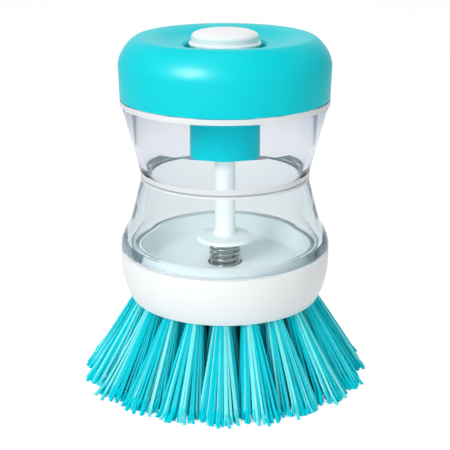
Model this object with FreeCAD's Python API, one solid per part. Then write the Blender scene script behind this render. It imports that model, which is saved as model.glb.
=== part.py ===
import FreeCAD
import Part
import math
import os

from FreeCAD import Vector

# Palm dish brush with a soap reservoir, in millimetres
# +Z runs up the axis of the brush, the bristle tips lie on z = 0 and the button is on top

# Clearances
FIT_GAP = 0.1
SLIDE_GAP = 0.3
SHAFT_GAP = 0.06
THREAD_GAP = 0.45
VALVE_GAP = 0.12
SPRING_GAP = 0.1
ANCHOR_GAP = 0.05
TUFT_GAP = 0.15

# Travel of the button and the plunger
PRESS_TRAVEL = 2.5

# Bristle tufts, in three rings
OUTER_TUFTS = 20
OUTER_SPLAY = 11.0
MIDDLE_TUFTS = 13
MIDDLE_SPLAY = 6.5
INNER_TUFTS = 6
INNER_SPLAY = 2.0
EDGE_LAND = 0.6
RING_LAND = 2.6
HUB_LAND = 2.3
TIP_GAP = 0.55
TUFT_HOLE_DEPTH = 4.5
TUFT_STRANDS = 14
STRAND_DEPTH = 0.95
TUFT_TURN = -1.9

# Steel strips that hold the tufts in their holes
ANCHOR_THICKNESS = 0.4
ANCHOR_DEPTH = 1.6
ANCHOR_BITE = 0.3
ANCHOR_COVER = 0.6

# Collar and brush block
COLLAR_Z = 23.5
COLLAR_HEIGHT = 14.0
COLLAR_RADIUS = 29.8
COLLAR_BAND = 2.5
COLLAR_TAPER = 2.6
COLLAR_FOOT_WALL = 0.9
COLLAR_WALL = 1.8
COLLAR_EDGE = 0.6
BLOCK_RECESS = 0.6
BLOCK_THICKNESS = 6.1

# Floor cup with the valve seat
CUP_FLANGE = 2.0
CUP_FLOOR = 2.6
CUP_WALL = 1.5
CUP_RIM_HEIGHT = 6.2
HUB_RADIUS = 6.0
HUB_DEPTH = 2.4
WELL_GAP = 0.35
WELL_DEPTH = 1.9
SEAT_BORE = 3.3
SEAT_RADIUS = 4.5
SEAT_DEPTH = 1.2
BASE_GASKET_THICKNESS = 1.2
BASE_GASKET_WIDTH = 2.4

# Clear reservoir, in a lower and an upper shell that meet at the waist
LOWER_HEIGHT = 21.7
SPIGOT_WALL = 3.3
WAIST_INSET = 6.1
WAIST_WALL = 2.1
WAIST_BAND = 1.4
TONGUE_WIDTH = 0.7
TONGUE_HEIGHT = 0.9
FLARE_HEIGHT = 10.6
FLARE_INSET = 3.5
FLARE_REACH = 4.5
CHAMBER_INSET = 2.8
SHOULDER_HEIGHT = 0.9
SHOULDER_REACH = 3.8
UPPER_HEIGHT = 20.1
BAND_PROUD = 1.6
BAND_LEDGE = 0.25
BAND_HEIGHT = 1.6
BORE_DEPTH = 10.1
MOUTH_STEP = 1.3
NECK_RADIUS = 27.5
NECK_WALL = 1.7
NECK_HEIGHT = 9.1

# Screw thread between the cap and the neck
THREAD_LEAD = 3.2
THREAD_BASE = 1.4
THREAD_CREST = 0.7
THREAD_ROOT = 0.4
THREAD_DEPTH = 5.8

# Cap
CAP_GASKET_THICKNESS = 1.2
CAP_SIDE_WALL = 1.7
CAP_TAPER = 0.3
CAP_TOP_WALL = 2.0
SHOULDER_DROP = 1.5
CROWN_INSET = 5.5
CROWN_RISE = 5.3
CROWN_HANDLE = 1.6
SHOULDER_HANDLE = 2.4
LIP_GAP = 1.25
LIP_DROP = 2.1
LIP_ROUND = 1.3
WELL_WALL = 2.2
CORE_DISC = 1.6
PLUG_WALL = 1.6
PLUG_LEAD = 1.0
BOSS_INSET = 0.7
BOSS_WALL = 1.15
BOSS_HEIGHT = 26.3
BOSS_FLOOR = 2.3
BOSS_EDGE = 0.9
ROD_HOLE_GAP = 0.55
SEAL_HEIGHT = 1.8
SEAL_RADIUS = 6.5
BUSH_HEIGHT = 2.6

# Button
BUTTON_FLANGE = 1.4
BUTTON_RADIUS = 9.3
BUTTON_FLANGE_WIDTH = 0.65
BUTTON_RISE = 4.4
BUTTON_DOME = 0.35
BUTTON_EDGE = 1.0
BUTTON_WALL = 1.3
BUTTON_BEAD = 0.8
BEAD_CATCH = 0.6
BUTTON_TOP_WALL = 2.4
SOCKET_WALL = 1.4
SOCKET_DEPTH = 7.2
SOCKET_GAP = 0.2

# Plunger rod, valve plug and return spring
ROD_RADIUS = 2.95
FLANGE_RADIUS = 7.95
FLANGE_RIM = 1.2
FLANGE_RISE = 1.6
SPRING_BOSS_GAP = 0.25
SPRING_BOSS_HEIGHT = 1.2
STEM_RADIUS = 2.2
STEM_END_RADIUS = 2.6
STEM_END_LENGTH = 0.8
PLUG_CAP = 0.7
PLUG_SIDE = 1.0
SPRING_RADIUS = 4.55
SPRING_WIRE = 1.0
SPRING_HEIGHT = 8.35
SPRING_TURNS = 4.75

# Small rounded edges
SOFT_EDGE = 0.4
FINE_EDGE = 0.2

# Heights worked out from the sizes above
block_z = COLLAR_Z + BLOCK_RECESS
ledge_z = block_z + BLOCK_THICKNESS
collar_top_z = COLLAR_Z + COLLAR_HEIGHT
floor_z = ledge_z + CUP_FLOOR
cup_rim_z = floor_z + CUP_RIM_HEIGHT
spigot_z = ledge_z + CUP_FLANGE + BASE_GASKET_THICKNESS
waist_z = collar_top_z + LOWER_HEIGHT
cone_top_z = waist_z + UPPER_HEIGHT
band_top_z = cone_top_z + BAND_HEIGHT
mouth_z = band_top_z + NECK_HEIGHT
mouth_depth = THREAD_DEPTH + THREAD_LEAD / 2 + THREAD_BASE / 2 + SLIDE_GAP
disc_z = mouth_z + CAP_GASKET_THICKNESS
core_top_z = disc_z + CORE_DISC
cap_rim_z = band_top_z + SLIDE_GAP
crown_z = core_top_z + CROWN_RISE
boss_z = disc_z - BOSS_HEIGHT
seal_z = boss_z + BOSS_FLOOR
bush_z = seal_z + SEAL_HEIGHT
button_flange_z = core_top_z + PRESS_TRAVEL + SLIDE_GAP
button_top_z = button_flange_z + BUTTON_RISE
socket_end_z = button_top_z - BUTTON_DOME - BUTTON_TOP_WALL - SOFT_EDGE
rod_top_z = socket_end_z - SOCKET_GAP
well_floor_z = floor_z - WELL_DEPTH
spring_top_z = well_floor_z + SPRING_GAP + SPRING_HEIGHT
flange_z = spring_top_z + SPRING_GAP
hub_z = ledge_z - HUB_DEPTH
plug_z = hub_z - PLUG_SIDE

# Radii of the base, from the collar inwards
collar_seat_radius = COLLAR_RADIUS - COLLAR_WALL
collar_foot_radius = COLLAR_RADIUS - COLLAR_TAPER
collar_bore = collar_foot_radius - COLLAR_FOOT_WALL
block_radius = collar_bore - FIT_GAP
block_bore = HUB_RADIUS + FIT_GAP
spigot_radius = collar_seat_radius - FIT_GAP
spigot_bore = spigot_radius - SPIGOT_WALL
cup_outer_radius = spigot_bore - FIT_GAP
cup_radius = cup_outer_radius - CUP_WALL
flare_radius = COLLAR_RADIUS - FLARE_INSET
chamber_radius = COLLAR_RADIUS - CHAMBER_INSET
waist_radius = COLLAR_RADIUS - WAIST_INSET
waist_bore = waist_radius - WAIST_WALL
well_radius = SPRING_RADIUS + WELL_GAP
spring_boss_radius = SPRING_RADIUS - SPRING_WIRE - SPRING_BOSS_GAP

# Radii of the neck and the cap
mouth_radius = NECK_RADIUS - NECK_WALL
bore_radius = mouth_radius - MOUTH_STEP
plug_radius = bore_radius - SLIDE_GAP
band_radius = NECK_RADIUS + BAND_PROUD
cone_radius = band_radius - BAND_LEDGE
cover_bore = NECK_RADIUS + SLIDE_GAP
cap_radius = cover_bore + CAP_SIDE_WALL
cap_rim_radius = cap_radius - CAP_TAPER
crown_radius = cap_radius - CROWN_INSET
boss_bore = BUTTON_RADIUS - BOSS_INSET
boss_radius = boss_bore + BOSS_WALL
button_lip = boss_bore - BEAD_CATCH
button_skirt_radius = button_lip - SLIDE_GAP
button_flange_radius = BUTTON_RADIUS + BUTTON_FLANGE_WIDTH
lip_radius = button_flange_radius + LIP_GAP

# The holes of three rings share the width of the block, and the tips spread until they nearly meet
hole_radius = (block_radius - block_bore - EDGE_LAND - 2 * RING_LAND - HUB_LAND) / 6
tuft_root_radius = hole_radius - TUFT_GAP
ring_step = 2 * hole_radius + RING_LAND
inner_root_circle = block_bore + HUB_LAND + hole_radius
middle_root_circle = inner_root_circle + ring_step
outer_root_circle = middle_root_circle + ring_step
inner_tip_circle = inner_root_circle + INNER_SPLAY
middle_tip_circle = middle_root_circle + MIDDLE_SPLAY
outer_tip_circle = outer_root_circle + OUTER_SPLAY
tip_room = min(2 * outer_tip_circle * math.sin(math.pi / OUTER_TUFTS),
               2 * middle_tip_circle * math.sin(math.pi / MIDDLE_TUFTS),
               2 * inner_tip_circle * math.sin(math.pi / INNER_TUFTS),
               outer_tip_circle - middle_tip_circle, middle_tip_circle - inner_tip_circle)
tuft_tip_radius = (tip_room - TIP_GAP) / 2


def point(radius, height):
    """Point of an outline, on the XZ plane."""
    return Vector(radius, 0, height)


def outline_edge(here, step):
    """Edge from a point to the end of a step, and that end."""
    if isinstance(step, tuple):
        return Part.LineSegment(point(*here), point(*step)).toShape(), step
    if len(step) == 2:
        return Part.Arc(point(*here), point(*step[0]), point(*step[1])).toShape(), step[1]
    curve = Part.BezierCurve()
    curve.setPoles([point(*here)] + [point(*pole) for pole in step])
    return curve.toShape(), step[-1]


def turned(start, *steps):
    """Solid turned about Z. A step is a corner, an arc [on it, end] or a curve [handle, handle, end]."""
    edges = []
    here = start
    for step in steps + (start,):
        edge, here = outline_edge(here, step)
        edges.append(edge)
    face = Part.Face(Part.Wire(edges))
    return face.revolve(Vector(0, 0, 0), Vector(0, 0, 1), 360)


def ring(inner, outer, low, high):
    """Plain ring with square edges."""
    return turned((inner, low), (outer, low), (outer, high), (inner, high))


def rounded(before, corner, after, radius):
    """Two steps that go round a corner of straight sides."""
    back = (point(*before) - point(*corner)).normalize()
    onward = (point(*after) - point(*corner)).normalize()
    half = back.getAngle(onward) / 2
    setback = radius / math.tan(half)
    bisector = (back + onward).normalize()
    enter = point(*corner) + back * setback
    leave = point(*corner) + onward * setback
    middle = point(*corner) + bisector * (radius / math.sin(half) - radius)
    return (enter.x, enter.z), [(middle.x, middle.z), (leave.x, leave.z)]


def base_collar():
    """White ring that joins the reservoir to the brush block."""
    band_z = collar_top_z - COLLAR_BAND
    foot = (collar_foot_radius, COLLAR_Z + COLLAR_EDGE)
    inset = COLLAR_RADIUS - collar_foot_radius
    drop = band_z - foot[1]
    sweep = (inset ** 2 + drop ** 2) / (2 * inset)
    turn = math.asin(drop / sweep)
    on_arc = (COLLAR_RADIUS - sweep * (1 - math.cos(turn / 2)), band_z - sweep * math.sin(turn / 2))
    under = (collar_foot_radius - COLLAR_EDGE, COLLAR_Z)
    reach = COLLAR_EDGE / 2
    leave = (foot[0] - reach * math.sin(turn), foot[1] - reach * math.cos(turn))
    arrive = (under[0] + reach, under[1])
    top_outer = rounded((COLLAR_RADIUS, band_z), (COLLAR_RADIUS, collar_top_z),
                        (collar_seat_radius, collar_top_z), SOFT_EDGE)
    inner_edge = rounded(under, (collar_bore, COLLAR_Z), (collar_bore, ledge_z), FINE_EDGE)
    return turned((collar_seat_radius, collar_top_z), (collar_seat_radius, ledge_z), (collar_bore, ledge_z),
                  inner_edge[1][1], [inner_edge[1][0], inner_edge[0]], under,
                  [arrive, leave, foot], [on_arc, (COLLAR_RADIUS, band_z)], *top_outer)


def lower_reservoir():
    """Clear flared shell from the collar up to the waist."""
    band_low = waist_z - WAIST_BAND / 2
    flare_z = collar_top_z + FLARE_HEIGHT
    shoulder = (COLLAR_RADIUS, collar_top_z + SHOULDER_HEIGHT)
    slope = (flare_radius - waist_radius) / (band_low - flare_z)
    flare_handle = (flare_radius + slope * FLARE_REACH, flare_z - FLARE_REACH)
    shoulder_handle = (COLLAR_RADIUS, shoulder[1] + SHOULDER_REACH)
    ledge = cup_rim_z + SLIDE_GAP
    throat = (flare_radius - WAIST_WALL, flare_z)
    throat_handle = (throat[0] + slope * FLARE_REACH / 2, flare_z - FLARE_REACH / 2)
    chamber_handle = (chamber_radius, ledge + SHOULDER_REACH / 2)
    tongue_low = waist_bore + (WAIST_WALL - TONGUE_WIDTH) / 2
    tongue_high = tongue_low + TONGUE_WIDTH
    return turned((waist_bore, waist_z), throat, [throat_handle, chamber_handle, (chamber_radius, ledge)],
                  (spigot_bore, ledge), (spigot_bore, spigot_z),
                  (spigot_radius, spigot_z), (spigot_radius, collar_top_z), (COLLAR_RADIUS, collar_top_z),
                  shoulder, [shoulder_handle, flare_handle, (flare_radius, flare_z)],
                  (waist_radius, band_low), (waist_radius, waist_z), (tongue_high, waist_z),
                  (tongue_high, waist_z + TONGUE_HEIGHT), (tongue_low, waist_z + TONGUE_HEIGHT),
                  (tongue_low, waist_z))


def thread_ridge(base_radius, crest_radius, start_z):
    """One turn of the screw thread, right-handed."""
    corners = [point(base_radius, -THREAD_BASE / 2), point(crest_radius, -THREAD_CREST / 2),
               point(crest_radius, THREAD_CREST / 2), point(base_radius, THREAD_BASE / 2)]
    profile = Part.Wire(Part.makePolygon(corners + corners[:1]))
    helix = Part.Wire(Part.makeHelix(THREAD_LEAD, THREAD_LEAD, base_radius))
    ridge = helix.makePipeShell([profile], True, True)
    ridge.translate(Vector(0, 0, start_z))
    return ridge


def upper_reservoir():
    """Clear cone from the waist up to the threaded neck."""
    band_high = waist_z + WAIST_BAND / 2
    bore_z = cone_top_z - BORE_DEPTH
    step_z = mouth_z - mouth_depth
    ramp = mouth_radius - bore_radius
    groove_low = waist_bore + (WAIST_WALL - TONGUE_WIDTH) / 2 - ANCHOR_GAP
    groove_high = groove_low + TONGUE_WIDTH + 2 * ANCHOR_GAP
    groove_z = waist_z + TONGUE_HEIGHT + FIT_GAP
    band_low_edge = rounded((cone_radius, cone_top_z), (band_radius, cone_top_z),
                            (band_radius, band_top_z), FINE_EDGE / 2)
    band_top_edge = rounded((band_radius, cone_top_z), (band_radius, band_top_z),
                            (NECK_RADIUS, band_top_z), SOFT_EDGE)
    shell = turned((groove_low, waist_z), (groove_low, groove_z), (groove_high, groove_z),
                   (groove_high, waist_z), (waist_radius, waist_z), (waist_radius, band_high),
                   (cone_radius, cone_top_z), *band_low_edge, *band_top_edge,
                   (NECK_RADIUS, band_top_z), (NECK_RADIUS, mouth_z), (mouth_radius, mouth_z),
                   (mouth_radius, step_z), (bore_radius, step_z - ramp), (bore_radius, bore_z),
                   (waist_bore, waist_z))
    ridge = thread_ridge(mouth_radius + THREAD_ROOT, plug_radius + THREAD_GAP, mouth_z - THREAD_DEPTH)
    return shell.fuse(ridge)


def floor_cup():
    """Floor of the reservoir, with the spring well and the valve seat."""
    seat_top_z = hub_z + SEAT_DEPTH
    rim = rounded((cup_radius, floor_z), (cup_radius, cup_rim_z), (cup_outer_radius, cup_rim_z), SOFT_EDGE)
    corner = rounded((well_radius, floor_z), (cup_radius, floor_z), (cup_radius, cup_rim_z), 2 * SOFT_EDGE)
    return turned((SEAT_BORE, seat_top_z), (SEAT_BORE, well_floor_z), (well_radius, well_floor_z),
                  (well_radius, floor_z), *corner, *rim, (cup_outer_radius, cup_rim_z),
                  (cup_outer_radius, ledge_z + CUP_FLANGE), (spigot_radius, ledge_z + CUP_FLANGE),
                  (spigot_radius, ledge_z), (HUB_RADIUS, ledge_z), (HUB_RADIUS, hub_z),
                  (SEAT_RADIUS, hub_z))


def base_gasket():
    """Soft ring that seals the reservoir to the floor cup."""
    low = ledge_z + CUP_FLANGE
    inner = spigot_bore + (spigot_radius - spigot_bore - BASE_GASKET_WIDTH) / 2
    return ring(inner, inner + BASE_GASKET_WIDTH, low, spigot_z)


def tuft_frame(root_circle, tip_circle):
    """Root point, direction and length of the tuft that stands on the +X side."""
    root = point(root_circle, block_z)
    tip = point(tip_circle, 0)
    direction = (tip - root).normalize()
    return root, direction, root.distanceToPoint(tip)


def tuft_hole(root_circle, tip_circle):
    """Cutter for one blind hole, open through the underside of the block."""
    root, direction, _ = tuft_frame(root_circle, tip_circle)
    bottom = root - direction * TUFT_HOLE_DEPTH
    return Part.makeCylinder(hole_radius, TUFT_HOLE_DEPTH + 2 * hole_radius, bottom, direction)


def anchor_box(root_circle, tip_circle, length, gap):
    """Strip across a hole near its bottom, grown by a gap on its faces."""
    root, direction, _ = tuft_frame(root_circle, tip_circle)
    bottom = root - direction * (TUFT_HOLE_DEPTH - ANCHOR_COVER)
    strip = Part.makeBox(ANCHOR_THICKNESS + 2 * gap, length, ANCHOR_DEPTH + 2 * gap,
                         Vector(-ANCHOR_THICKNESS / 2 - gap, -length / 2, -gap))
    turn = FreeCAD.Rotation(Vector(0, 0, 1), direction)
    strip.Placement = FreeCAD.Placement(bottom, turn).multiply(strip.Placement)
    return strip


def strand_lines(root_circle, tip_circle):
    """Straight lines down a tuft, on and between its outer strands in turn, from the butt to the tips."""
    root, direction, length = tuft_frame(root_circle, tip_circle)
    turn = FreeCAD.Rotation(Vector(0, 0, 1), direction)
    inside = TUFT_HOLE_DEPTH - FIT_GAP
    butt_radius = tuft_root_radius - (tuft_tip_radius - tuft_root_radius) * inside / length
    groove = STRAND_DEPTH / tuft_tip_radius
    lines = []
    for step in range(2 * TUFT_STRANDS):
        angle = step * math.pi / TUFT_STRANDS
        outward = turn.multVec(Vector(math.cos(angle), math.sin(angle), 0)) * (1 - groove * (step % 2))
        butt = root - direction * inside + outward * butt_radius
        onward = root + direction * length + outward * tuft_tip_radius
        lines.append((butt, butt + (onward - butt) * (butt.z / (butt.z - onward.z))))
    return lines


def tuft(root_circle, tip_circle):
    """Bundle of bristles on the +X side, ribbed by its outer strands and trimmed level with the tips."""
    rings = []
    for spots in zip(*strand_lines(root_circle, tip_circle)):
        arcs = [Part.Arc(spots[crest - 1], spots[crest], spots[crest + 1]).toShape()
                for crest in range(0, len(spots), 2)]
        rings.append(Part.Wire(arcs))
    slot = anchor_box(root_circle, tip_circle, 4 * hole_radius, ANCHOR_GAP)
    return Part.makeLoft(rings, True, True).cut(slot)


def around(shape, count, index, offset):
    """Copy of a shape turned to its place in a ring; the ring counts from the front, -Y."""
    copy = shape.copy()
    copy.rotate(Vector(0, 0, 0), Vector(0, 0, 1), offset - 90 + 360 * index / count)
    return copy


RINGS = (("outer_tuft", OUTER_TUFTS, outer_root_circle, outer_tip_circle),
         ("middle_tuft", MIDDLE_TUFTS, middle_root_circle, middle_tip_circle),
         ("inner_tuft", INNER_TUFTS, inner_root_circle, inner_tip_circle))


def brush_block():
    """Disc with the tuft holes and the soap outlet."""
    disc = ring(block_bore, block_radius, block_z, ledge_z)
    cutters = []
    for _, count, root_circle, tip_circle in RINGS:
        hole = tuft_hole(root_circle, tip_circle)
        cutters += [around(hole, count, index, TUFT_TURN) for index in range(count)]
    return disc.cut(cutters)


def tufts():
    """Every tuft under its own name."""
    named = {}
    for name, count, root_circle, tip_circle in RINGS:
        shape = tuft(root_circle, tip_circle)
        for index in range(count):
            named["%s_%02d" % (name, index + 1)] = around(shape, count, index, TUFT_TURN)
    return named


def tuft_anchors():
    """Steel strips, one in each tuft, with their ends pressed into the block."""
    strips = []
    length = 2 * (hole_radius + ANCHOR_BITE)
    for _, count, root_circle, tip_circle in RINGS:
        strip = anchor_box(root_circle, tip_circle, length, 0)
        strips += [around(strip, count, index, TUFT_TURN) for index in range(count)]
    return Part.makeCompound(strips)


def plunger_rod():
    """Rod from the button down to the valve, with the spring's flange."""
    flange_top = flange_z + FLANGE_RIM
    boss_low = flange_z - SPRING_BOSS_HEIGHT
    stem_end = plug_z + PLUG_CAP
    neck_z = stem_end + STEM_END_LENGTH
    rim_round = FLANGE_RIM / 2
    rim = (FLANGE_RADIUS, flange_z + rim_round)
    root = (ROD_RADIUS, flange_top + FLANGE_RISE)
    tip = rounded((ROD_RADIUS, flange_top), (ROD_RADIUS, rod_top_z), (0, rod_top_z), SOFT_EDGE)
    return turned((0, stem_end), (STEM_END_RADIUS, stem_end), (STEM_END_RADIUS, neck_z),
                  (STEM_RADIUS, neck_z), (STEM_RADIUS, boss_low), (spring_boss_radius, boss_low),
                  (spring_boss_radius, flange_z), (FLANGE_RADIUS - rim_round, flange_z),
                  [rim, (FLANGE_RADIUS - rim_round, flange_top)],
                  [(ROD_RADIUS + FLANGE_RISE, flange_top + FLANGE_RISE / 4), (ROD_RADIUS, flange_top), root],
                  *tip, (0, rod_top_z))


def valve_plug():
    """Soft cone on the end of the rod, just under its seat."""
    stem_end = plug_z + PLUG_CAP
    neck_z = stem_end + STEM_END_LENGTH
    slant = math.hypot(SEAT_RADIUS - SEAT_BORE, SEAT_DEPTH)
    inset = VALVE_GAP * slant / SEAT_DEPTH
    wide = SEAT_RADIUS - inset
    narrow = SEAT_BORE - inset
    top_z = hub_z + SEAT_DEPTH
    foot = rounded((wide, hub_z), (wide, plug_z), (0, plug_z), SOFT_EDGE)
    return turned((0, plug_z), (0, stem_end), (STEM_END_RADIUS, stem_end), (STEM_END_RADIUS, neck_z),
                  (STEM_RADIUS, neck_z), (STEM_RADIUS, top_z), (narrow, top_z), (wide, hub_z), *foot)


def helix_point(angle):
    """Centre of the spring wire at an angle in radians from its lower end."""
    radius = SPRING_RADIUS - SPRING_WIRE / 2
    rise = (SPRING_HEIGHT - SPRING_WIRE) * angle / (2 * math.pi * SPRING_TURNS)
    low = well_floor_z + SPRING_GAP + SPRING_WIRE / 2
    return Vector(radius * math.cos(angle), radius * math.sin(angle), low + rise)


def helix_tangent(angle):
    """Direction of the spring wire at an angle."""
    radius = SPRING_RADIUS - SPRING_WIRE / 2
    climb = (SPRING_HEIGHT - SPRING_WIRE) / (2 * math.pi * SPRING_TURNS)
    return Vector(-radius * math.sin(angle), radius * math.cos(angle), climb).normalize()


def tangent_arc(start, handle, end):
    """Arc between two points whose end tangents meet at a handle."""
    middle = (start + end) * 0.5
    half_angle = math.acos(start.distanceToPoint(end) / 2 / start.distanceToPoint(handle))
    share = math.tan(half_angle / 2) / math.tan(half_angle)
    return Part.Arc(start, middle + (handle - middle) * share, end).toShape()


def biarc(start, start_way, end, end_way):
    """Two arcs that leave and arrive along given directions."""
    span = end - start
    both = start_way + end_way
    square = 4 - both.dot(both)
    along = span.dot(both)
    reach = (math.sqrt(along ** 2 + square * span.dot(span)) - along) / square
    first = start + start_way * reach
    last = end - end_way * reach
    joint = (first + last) * 0.5
    return [tangent_arc(start, first, joint), tangent_arc(joint, last, end)]


def least_coil_gap(samples):
    """Smallest distance between the surfaces of neighbouring turns, measured on points."""
    points = [helix_point(2 * math.pi * SPRING_TURNS * step / samples) for step in range(samples + 1)]
    apart = int(samples / SPRING_TURNS / 2)
    nearest = SPRING_HEIGHT
    for first in range(samples + 1):
        for second in range(first + apart, samples + 1):
            nearest = min(nearest, points[first].distanceToPoint(points[second]))
    return nearest - SPRING_WIRE


def return_spring():
    """Coil between the well of the floor cup and the flange of the rod."""
    quarters = int(round(4 * SPRING_TURNS))
    step = 2 * math.pi * SPRING_TURNS / quarters
    low = helix_point(0)
    low_way = helix_tangent(0)
    high = helix_point(step * quarters)
    high_way = helix_tangent(step * quarters)
    edges = [Part.LineSegment(low - low_way * SPRING_WIRE, low).toShape()]
    for index in range(quarters):
        edges += biarc(helix_point(step * index), helix_tangent(step * index),
                       helix_point(step * (index + 1)), helix_tangent(step * (index + 1)))
    edges.append(Part.LineSegment(high, high + high_way * SPRING_WIRE).toShape())
    path = Part.Wire(edges)
    section = Part.Wire(Part.Circle(low - low_way * SPRING_WIRE, low_way, SPRING_WIRE / 2).toShape())
    coil = path.makePipeShell([section], True, False)
    expected = math.pi * SPRING_WIRE ** 2 / 4 * path.Length
    print("return_spring: least gap to itself %.3f mm" % least_coil_gap(400))
    print("return_spring: volume %.2f, section times length %.2f" % (coil.Volume, expected))
    return coil


def cap_cover():
    """Outer shell of the cap, with the recess round the button."""
    side_z = core_top_z - SHOULDER_DROP
    crown = (crown_radius, crown_z)
    lip_z = crown_z - LIP_DROP
    lip = (lip_radius + LIP_ROUND, lip_z)
    recess = (lip_radius, lip_z - LIP_ROUND)
    roll = LIP_ROUND * (1 - math.sqrt(0.5))
    on_lip = (lip_radius + roll, lip_z - roll)
    well_outer = lip_radius + WELL_WALL
    ceiling_z = crown_z - CAP_TOP_WALL
    inner_side_z = core_top_z + FIT_GAP
    dish_handle = (crown_radius + lip_radius) / 2
    rim = rounded((cover_bore, cap_rim_z), (cap_rim_radius, cap_rim_z), (cap_radius, side_z), SOFT_EDGE)
    return turned((cover_bore, cap_rim_z), *rim, (cap_radius, side_z),
                  [(cap_radius, side_z + SHOULDER_HANDLE), (crown_radius + CROWN_HANDLE, crown_z), crown],
                  [(dish_handle, crown_z), (dish_handle, lip_z), lip], [on_lip, recess],
                  (lip_radius, core_top_z), (well_outer, core_top_z),
                  (well_outer, lip_z - CAP_TOP_WALL), (crown_radius, ceiling_z),
                  [(crown_radius + CROWN_HANDLE / 2, ceiling_z),
                   (cover_bore, inner_side_z + SHOULDER_HANDLE / 2), (cover_bore, inner_side_z)])


def cap_core():
    """Inner cap: threaded plug, disc and the boss that houses the button and the rod seal."""
    core_radius = cover_bore - FIT_GAP
    plug_bore = plug_radius - PLUG_WALL
    plug_low = mouth_z - mouth_depth - PLUG_LEAD
    rod_hole = ROD_RADIUS + ROD_HOLE_GAP
    edge = rounded((boss_radius, disc_z), (boss_radius, boss_z), (rod_hole, boss_z), BOSS_EDGE)
    skirt = rounded((plug_radius, disc_z), (plug_radius, plug_low), (plug_bore, plug_low), SOFT_EDGE)
    body = turned((rod_hole, boss_z), (rod_hole, seal_z), (boss_bore, seal_z), (boss_bore, disc_z),
                  (button_lip, disc_z), (button_lip, core_top_z), (core_radius, core_top_z),
                  (core_radius, disc_z), (plug_radius, disc_z), *skirt, (plug_bore, plug_low),
                  (plug_bore, disc_z), (boss_radius, disc_z), *edge)
    start_z = mouth_z - THREAD_DEPTH - THREAD_LEAD / 2
    ridge = thread_ridge(plug_radius - THREAD_ROOT, mouth_radius - THREAD_GAP, start_z)
    return body.fuse(ridge)


def cap_gasket():
    """Soft ring between the mouth of the reservoir and the cap's disc."""
    return ring(plug_radius + SLIDE_GAP, NECK_RADIUS - FIT_GAP, mouth_z, disc_z)


def rod_seal():
    """Soft ring that wipes the rod on the floor of the boss."""
    return ring(ROD_RADIUS + SHAFT_GAP, SEAL_RADIUS, seal_z, bush_z)


def rod_guide_bush():
    """Disc pressed into the boss, over the seal, that guides the rod."""
    return ring(ROD_RADIUS + SHAFT_GAP, boss_bore - ANCHOR_GAP, bush_z, bush_z + BUSH_HEIGHT)


def push_button():
    """White button with its flange, retaining bead and rod socket."""
    flange_top = button_flange_z + BUTTON_FLANGE
    rim_z = button_top_z - BUTTON_DOME
    ceiling_z = rim_z - BUTTON_TOP_WALL / 2
    bead_high = disc_z - SLIDE_GAP
    bead_low = bead_high - BUTTON_BEAD
    bead_radius = boss_bore - SLIDE_GAP
    skirt_bore = button_skirt_radius - BUTTON_WALL
    socket_bore = ROD_RADIUS + SLIDE_GAP / 2
    socket_radius = socket_bore + SOCKET_WALL
    socket_z = socket_end_z - SOCKET_DEPTH
    flange_edge = rounded((button_skirt_radius, button_flange_z), (button_flange_radius, button_flange_z),
                          (button_flange_radius, flange_top), SOFT_EDGE)
    shoulder = rounded((button_flange_radius, button_flange_z), (button_flange_radius, flange_top),
                       (BUTTON_RADIUS, flange_top), FINE_EDGE)
    side_top = (BUTTON_RADIUS, rim_z - BUTTON_EDGE)
    dome_edge = [(BUTTON_RADIUS, rim_z), (BUTTON_RADIUS / 2, button_top_z), (0, button_top_z)]
    return turned((0, socket_end_z), (socket_bore, socket_end_z), (socket_bore, socket_z),
                  (socket_radius, socket_z), (socket_radius, ceiling_z), (skirt_bore, ceiling_z),
                  (skirt_bore, bead_low), (bead_radius, bead_low), (bead_radius, bead_high),
                  (button_skirt_radius, bead_high), (button_skirt_radius, button_flange_z),
                  *flange_edge, *shoulder, (BUTTON_RADIUS, flange_top), side_top, dome_edge)


def pieces():
    """Every piece of the brush, under its node's name."""
    named = {"cap_cover": cap_cover(), "cap_core": cap_core(), "cap_gasket": cap_gasket(),
             "rod_seal": rod_seal(), "rod_guide_bush": rod_guide_bush(), "push_button": push_button(),
             "plunger_rod": plunger_rod(), "valve_plug": valve_plug(), "return_spring": return_spring(),
             "upper_reservoir": upper_reservoir(), "lower_reservoir": lower_reservoir(),
             "floor_cup": floor_cup(), "base_gasket": base_gasket(), "base_collar": base_collar(),
             "brush_block": brush_block(), "tuft_anchors": tuft_anchors()}
    named.update(tufts())
    return named


os.makedirs("parts", exist_ok=True)
for node, shape in pieces().items():
    shape.exportStep("parts/%s.step" % node)
    if not shape.isValid():
        print("not valid: %s" % node)
print("overall height %.2f, crown %.2f" % (button_top_z, crown_z))
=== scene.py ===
"""Looks of a palm dish brush with a soap reservoir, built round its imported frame.

Sizes are in millimetres in the classes' fields and become metres where a mesh is made. The brush stands on
its bristle tips at z = 0, with +Z up its axis and -Y towards the camera.
"""
from __future__ import annotations

import logging
import math
from dataclasses import dataclass
from enum import Enum
from functools import cache

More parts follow.
